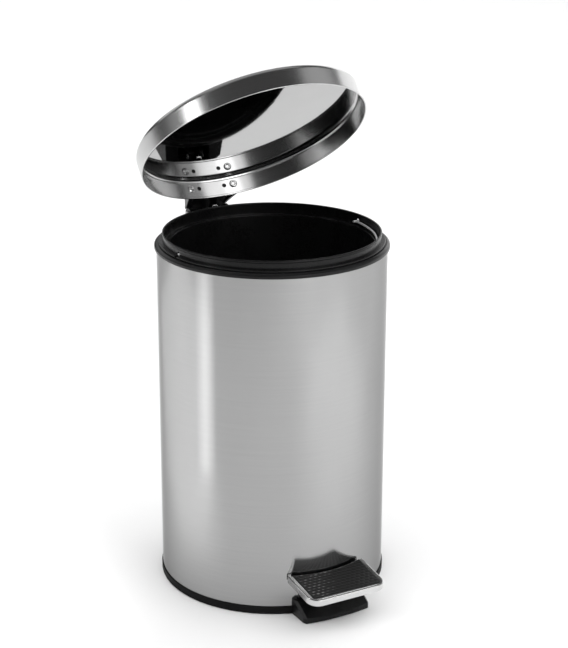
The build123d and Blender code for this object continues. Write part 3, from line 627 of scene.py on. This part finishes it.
bm = bmesh.new()
grid = []
xs = []
for i in range(NX + 1):
    f = -1 + 2 * i / NX
    s = math.sin(f * math.pi / 2)
    xs.append(wq * (0.82 * f + 0.18 * s) * (1 - 1e-4))
for x in xs:
    yf, yr = front_edge(x), -math.sqrt(r_rear ** 2 - x * x)
    col = []
    for j in range(NY + 1):
        y = yf + (yr - yf) * j / NY
        a = abs(x) - (wq - rq)
        b = (yq + rq) - y
        if a > 0 and b > 0:
            e_out = rq - math.hypot(a, b)
        else:
            e_out = min(wq - abs(x), y - yq)
        edge = max(0.0, e_out)
        soft = min(1.0, edge / 0.45)
        h = (tread(x, y, edge) - 0.25) * math.sqrt(soft * (2 - soft)) if soft < 1 else tread(x, y, edge) - 0.25
        back = min(1.0, max(0.0, 1 - (math.hypot(x, y) - r_rear) / 1.3))
        if back > 0:                  # plain border along the rear
            h += (0.80 * math.sqrt(soft * (2 - soft)) - h) * min(1.0, back * 3.0) - 0.9 * (1 - math.sqrt(1 - back * back))
        col.append(bm.verts.new(Vector((x, y, -0.02 + h)) * MM))
    grid.append(col)
for i in range(NX):
    for j in range(NY):
        bm.faces.new((grid[i][j], grid[i + 1][j], grid[i + 1][j + 1], grid[i][j + 1]))


def under(v, z):
    return bm.verts.new((v.co.x, v.co.y, z * MM))


# walls down to the base, and a lip along the rear that covers the plate's edge
JL = NY - 5
front = [under(grid[i][0], -0.58) for i in range(NX + 1)]
right = [under(grid[NX][j], -0.58) for j in range(1, JL + 1)]
left = [under(grid[0][j], -0.58) for j in range(1, JL + 1)]
z_lip = [-5.2] * (NX + 1)
rear = [under(grid[i][NY], z_lip[i]) for i in range(NX + 1)]
lip_low = [bm.verts.new((x * MM, -math.sqrt(r_lip ** 2 - x * x) * MM, z * MM)) for x, z in zip(xs, z_lip)]
lip_top = [under(v, -0.58) for v in lip_low]
for i in range(NX):
    bm.faces.new((grid[i][0], grid[i + 1][0], front[i + 1], front[i]))
    bm.faces.new((grid[i][NY], grid[i + 1][NY], rear[i + 1], rear[i]))
    bm.faces.new((rear[i], rear[i + 1], lip_low[i + 1], lip_low[i]))
    bm.faces.new((lip_low[i], lip_low[i + 1], lip_top[i + 1], lip_top[i]))
for i, low in ((0, [front[0]] + left), (NX, [front[NX]] + right)):
    for j in range(JL):
        bm.faces.new((grid[i][j], grid[i][j + 1], low[j + 1], low[j]))
    bm.faces.new([grid[i][j] for j in range(JL, NY + 1)] + [rear[i], lip_low[i], lip_top[i], low[JL]])
bm.faces.new(front + right + lip_top[::-1] + left[::-1])
bmesh.ops.recalc_face_normals(bm, faces=bm.faces)
pad = new_object("tread_pad", bm, (M_RUBBER,))
shade(pad, 50)
pad.data.transform(PEDAL_PLACE)
place(pad, "pedal", "pedal_pad", slot="pad_rubber")

# ------------------------------------------------- finish of the small hardware
FINISH = {
    "hinge_pin": M_BRIGHT, "hinge_pin_clips": M_ZINC, "hinge_screws": M_ZINC, "foot_screws": M_ZINC, "rod_guides": M_NYLON,
    "pivot_bushes": M_NYLON, "lift_rod": M_ZINC, "lift_pin": M_BRIGHT, "lift_pin_clips": M_ZINC, "rod_clip": M_ZINC,
    "pedal_rivets": M_ZINC, "pivot_pin": M_BRIGHT, "pivot_clips": M_ZINC, "lift_rod_end": M_BRIGHT,
    "body_shell": M_BODY, "base_dish": M_RING, "front_foot": M_BLACK, "top_collar": M_BLACK, "inner_bucket": M_BUCKET, "bucket_bail": M_WIRE,
    "lid_shell": M_LID_OUT, "lid_bracket": M_BLACK, "lid_rivets": M_BRIGHT, "hinge_base": M_BLACK, "pedal_plate": M_PEDAL,
    "pedal_pad": M_RUBBER, "pedal_lever": M_ZINC,
}
for name, m in FINISH.items():
    ob = cad[name]
    ob.data.materials.clear()
    ob.data.materials.append(m)

# ------------------------------------------------------------ floor and light
t = Mat("pale_floor")
v = t.coords()
t.link(t.ramp(t.noise(v, 3.0, 4.0), (0.86, 0.86, 0.86), (0.89, 0.89, 0.89)), t.p.inputs["Base Color"])
t.link(t.range(t.noise(v, 220.0, 3.0), 0.55, 0.7), t.p.inputs["Roughness"])
t.set(Specular_IOR_Level=0.2)
bm = bmesh.new()
NF, SF = 24, 14.0
fl = [[bm.verts.new((-SF + 2 * SF * i / NF, -SF + 2 * SF * j / NF, 0)) for j in range(NF + 1)] for i in range(NF + 1)]
for i in range(NF):
    for j in range(NF):
        bm.faces.new((fl[i][j], fl[i + 1][j], fl[i + 1][j + 1], fl[i][j + 1]))
floor = new_object("floor", bm, (t.m,))
floor.location.z = -0.0004


def softbox(name, at, to, width, height, radiance, spread=180.0, glossy=True, diffuse=True):
    d = bpy.data.lights.new(name, "AREA")
    d.spread = math.radians(spread)
    d.shape = "RECTANGLE"
    d.size, d.size_y = width, height
    d.energy = radiance * math.pi * width * height
    ob = bpy.data.objects.new(name, d)
    scene.collection.objects.link(ob)
    ob.location = at
    ob.visible_camera = False
    ob.visible_glossy = glossy
    ob.visible_diffuse = diffuse
    ob.rotation_euler = (Vector(to) - Vector(at)).to_track_quat("-Z", "Y").to_euler()
    return ob


softbox("overhead", (1.2, 4.4, 3.4), (1.2, 4.4, 0.0), 12.0, 14.0, 1.5, glossy=False)
softbox("floor_left", (-0.72, 0.52, 0.45), (-0.72, 0.52, 0.0), 1.0, 1.15, 0.56, spread=30.0, glossy=False)
softbox("floor_right", (0.42, -0.62, 0.70), (0.42, -0.62, 0.0), 0.75, 0.75, 0.32, spread=40.0, glossy=False)
for i, w in enumerate((0.040, 0.080, 0.120, 0.160)):
    softbox("left_strip_%d" % i, (-0.46 - 0.004 * i, 0.0, 0.18), (0.0, 0.0, 0.18), w, 0.36, 0.16)
softbox("left_high", (-0.95, 0.02, 0.90), (0.0, 0.0, 0.50), 0.22, 0.22, 8.0)
softbox("left_low", (-1.10, 0.24, 0.66), (0.0, 0.0, 0.50), 0.50, 0.30, 0.30)
for i, (az, w, power) in enumerate(((0.0, 0.95, 1.25), (14.0, 1.75, 0.75), (30.0, 2.6, 0.6))):
    d = 1.80 + 0.08 * i
    softbox("front_box_%d" % i, (d * math.sin(math.radians(az)), -d * math.cos(math.radians(az)), 0.95), (0.0, 0.0, 0.38), w, 1.05, power)
a = math.radians(18.0)
softbox("lid_glow", (1.75 * math.sin(a), -1.75 * math.cos(a), 1.06), (0.0, 0.0, 0.48), 1.30, 0.48, 1.55)
softbox("right_side", (2.3, 0.9, 0.85), (0.0, 0.0, 0.45), 2.4, 1.2, 1.3)
softbox("right_top", (1.70, -0.66, 1.85), (0.0, 0.0, 0.50), 1.8, 1.25, 0.46)
softbox("back_wall", (0.6, 5.2, 3.0), (0.6, 0.0, 3.0), 12.0, 2.6, 0.70, diffuse=False)
softbox("ceiling", (-0.3, 1.5, 3.3), (-0.3, 1.5, 0.0), 4.4, 3.4, 0.30, diffuse=False)
softbox("front_wall", (-3.2, -4.6, 3.3), (0.0, 0.0, 3.3), 6.0, 2.4, 0.30, diffuse=False)
world = bpy.data.worlds.new("surround")
scene.world = world
world.use_nodes = True
bg = world.node_tree.nodes["Background"]
bg.inputs["Color"].default_value = (1, 1, 1, 1)
bg.inputs["Strength"].default_value = 0.06
scene.view_settings.view_transform = "Standard"
